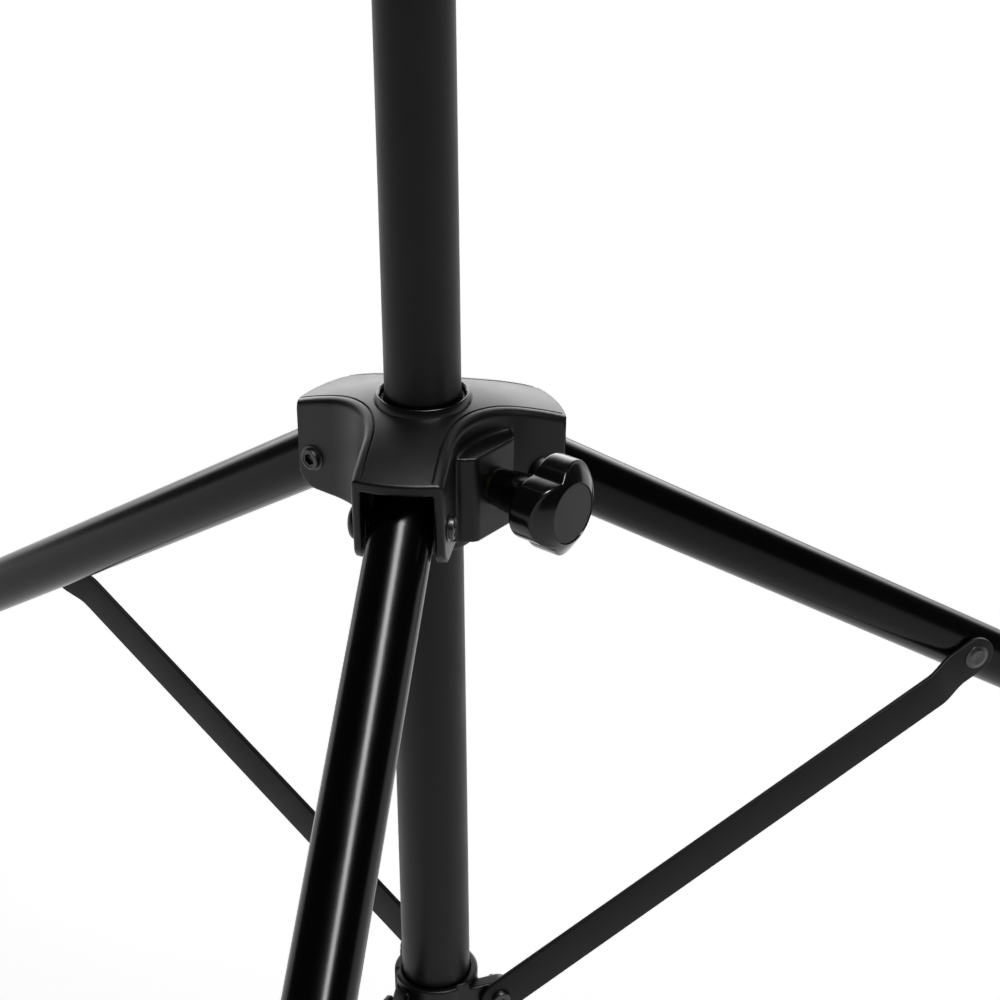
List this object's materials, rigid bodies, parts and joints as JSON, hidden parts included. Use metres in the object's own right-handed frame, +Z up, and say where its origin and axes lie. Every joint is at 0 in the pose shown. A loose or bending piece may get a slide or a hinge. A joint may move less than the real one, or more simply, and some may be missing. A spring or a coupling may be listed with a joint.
{
  "type": "speaker tripod stand",
  "caption": "Folding tripod stand for a loudspeaker, with a sliding moulded hub, tubular legs, flat braces and a telescoping pole held by lobed lock knobs.",
  "frame": {"origin": "on the floor, at the middle of the footprint's box when the stand is open; the mast's axis is 0.156 m from it along +Y", "axes": "+Z up along the mast, front leg along -Y, the other two legs 120 degrees to each side"},
  "size_m": [1.1214, 0.9765, 1.244],
  "materials": {
    "mast_paint": "satin black powder coat",
    "leg_paint": "semi-gloss black enamel",
    "hub_plastic": "fine-textured satin black moulding",
    "brace_paint": "matt black powder coat",
    "knob_gloss": "gloss black moulding",
    "knob_cap": "matt black label disc, blank",
    "bolt_steel": "blackened steel",
    "insert_brass": "turned brass",
    "nylon": "dark nylon",
    "rubber": "matt black rubber"
  },
  "bodies": {
    "mast": {"mast_tube": "mast_paint", "mast_end_cap": "rubber", "brace_collar": "hub_plastic", "collar_set_screw": "bolt_steel", "brace_nut_front": "bolt_steel", "brace_nut_right": "bolt_steel", "brace_nut_left": "bolt_steel", "top_clamp": "hub_plastic", "clamp_liner": "nylon", "clamp_set_screw": "bolt_steel"},
    "hub": {"hub_housing": "hub_plastic", "hub_bush_upper": "nylon", "hub_bush_lower": "nylon", "lock_insert": "insert_brass", "pivot_bolt_front": "bolt_steel", "pivot_bolt_right": "bolt_steel", "pivot_bolt_left": "bolt_steel", "pivot_nut_front": "hub_plastic", "pivot_nut_right": "hub_plastic", "pivot_nut_left": "hub_plastic", "pivot_washer_front_a": "nylon", "pivot_washer_front_b": "nylon", "pivot_washer_right_a": "nylon", "pivot_washer_right_b": "nylon", "pivot_washer_left_a": "nylon", "pivot_washer_left_b": "nylon"},
    "hub_lock_stud": {"hub_lock_stud": "bolt_steel"},
    "hub_lock_knob": {"hub_lock_knob": "knob_gloss", "hub_lock_knob_cap": "knob_cap"},
    "leg_front": {"leg_tube_front": "leg_paint", "leg_plug_front": "nylon", "foot_front": "rubber", "brace_rivet_front": "bolt_steel"},
    "leg_right": {"leg_tube_right": "leg_paint", "leg_plug_right": "nylon", "foot_right": "rubber", "brace_rivet_right": "bolt_steel"},
    "leg_left": {"leg_tube_left": "leg_paint", "leg_plug_left": "nylon", "foot_left": "rubber", "brace_rivet_left": "bolt_steel"},
    "brace_front": {"brace_strap_front": "brace_paint", "brace_bolt_front": "bolt_steel"},
    "brace_right": {"brace_strap_right": "brace_paint", "brace_bolt_right": "bolt_steel"},
    "brace_left": {"brace_strap_left": "brace_paint", "brace_bolt_left": "bolt_steel"},
    "pole": {"pole_tube": "mast_paint", "pole_top_cap": "nylon", "pole_end_plug": "nylon"},
    "clamp_lock_stud": {"clamp_lock_stud": "bolt_steel"},
    "clamp_lock_knob": {"clamp_lock_knob": "knob_gloss", "clamp_lock_knob_cap": "knob_cap"}
  },
  "joints": [
    {"name": "hub_slide", "type": "slide", "parent": "mast", "child": "hub", "axis": [0, 0, 1], "range_m": [0, 0.3286]},
    {"name": "leg_front_fold", "type": "hinge", "parent": "hub", "child": "leg_front", "pos_m": [0, 0.10033, 0.37], "axis": [1, 0, 0], "range_deg": [0, 57.96]},
    {"name": "leg_right_fold", "type": "hinge", "parent": "hub", "child": "leg_right", "pos_m": [0.04832, 0.18403, 0.37], "axis": [-0.5, 0.866, 0], "range_deg": [0, 57.96]},
    {"name": "leg_left_fold", "type": "hinge", "parent": "hub", "child": "leg_left", "pos_m": [-0.04832, 0.18403, 0.37], "axis": [-0.5, -0.866, 0], "range_deg": [0, 57.96]},
    {"name": "brace_front_fold", "type": "hinge", "parent": "leg_front", "child": "brace_front", "pos_m": [0, -0.17089, 0.20019], "axis": [-1, 0, 0], "range_deg": [0, 115.81]},
    {"name": "brace_right_fold", "type": "hinge", "parent": "leg_right", "child": "brace_right", "pos_m": [0.28321, 0.31965, 0.20019], "axis": [0.5, -0.866, 0], "range_deg": [0, 115.81]},
    {"name": "brace_left_fold", "type": "hinge", "parent": "leg_left", "child": "brace_left", "pos_m": [-0.28321, 0.31965, 0.20019], "axis": [0.5, 0.866, 0], "range_deg": [0, 115.81]},
    {"name": "pole_slide", "type": "slide", "parent": "mast", "child": "pole", "axis": [0, 0, 1], "range_m": [0, 0.75]},
    {"name": "hub_lock_feed", "type": "slide", "parent": "hub", "child": "hub_lock_stud", "axis": [0.866, -0.5, 0], "range_m": [0, 0.003]},
    {"name": "hub_lock_turn", "type": "hinge", "parent": "hub_lock_stud", "child": "hub_lock_knob", "pos_m": [0, 0.15613, 0.377], "axis": [0.866, -0.5, 0], "range_deg": [0, 720]},
    {"name": "clamp_lock_feed", "type": "slide", "parent": "mast", "child": "clamp_lock_stud", "axis": [0.866, -0.5, 0], "range_m": [0, 0.003]},
    {"name": "clamp_lock_turn", "type": "hinge", "parent": "clamp_lock_stud", "child": "clamp_lock_knob", "pos_m": [0, 0.15613, 1.064], "axis": [0.866, -0.5, 0], "range_deg": [0, 720]}
  ],
  "couplings": [
    {"joint": "leg_front_fold", "follows": "hub_slide", "rad_per_m": 3.078},
    {"joint": "leg_right_fold", "follows": "hub_slide", "rad_per_m": 3.078},
    {"joint": "leg_left_fold", "follows": "hub_slide", "rad_per_m": 3.078},
    {"joint": "brace_front_fold", "follows": "hub_slide", "rad_per_m": 6.1509},
    {"joint": "brace_right_fold", "follows": "hub_slide", "rad_per_m": 6.1509},
    {"joint": "brace_left_fold", "follows": "hub_slide", "rad_per_m": 6.1509},
    {"joint": "hub_lock_turn", "follows": "hub_lock_feed", "rad_per_m": 4188.8},
    {"joint": "clamp_lock_turn", "follows": "clamp_lock_feed", "rad_per_m": 4188.8}
  ]
}
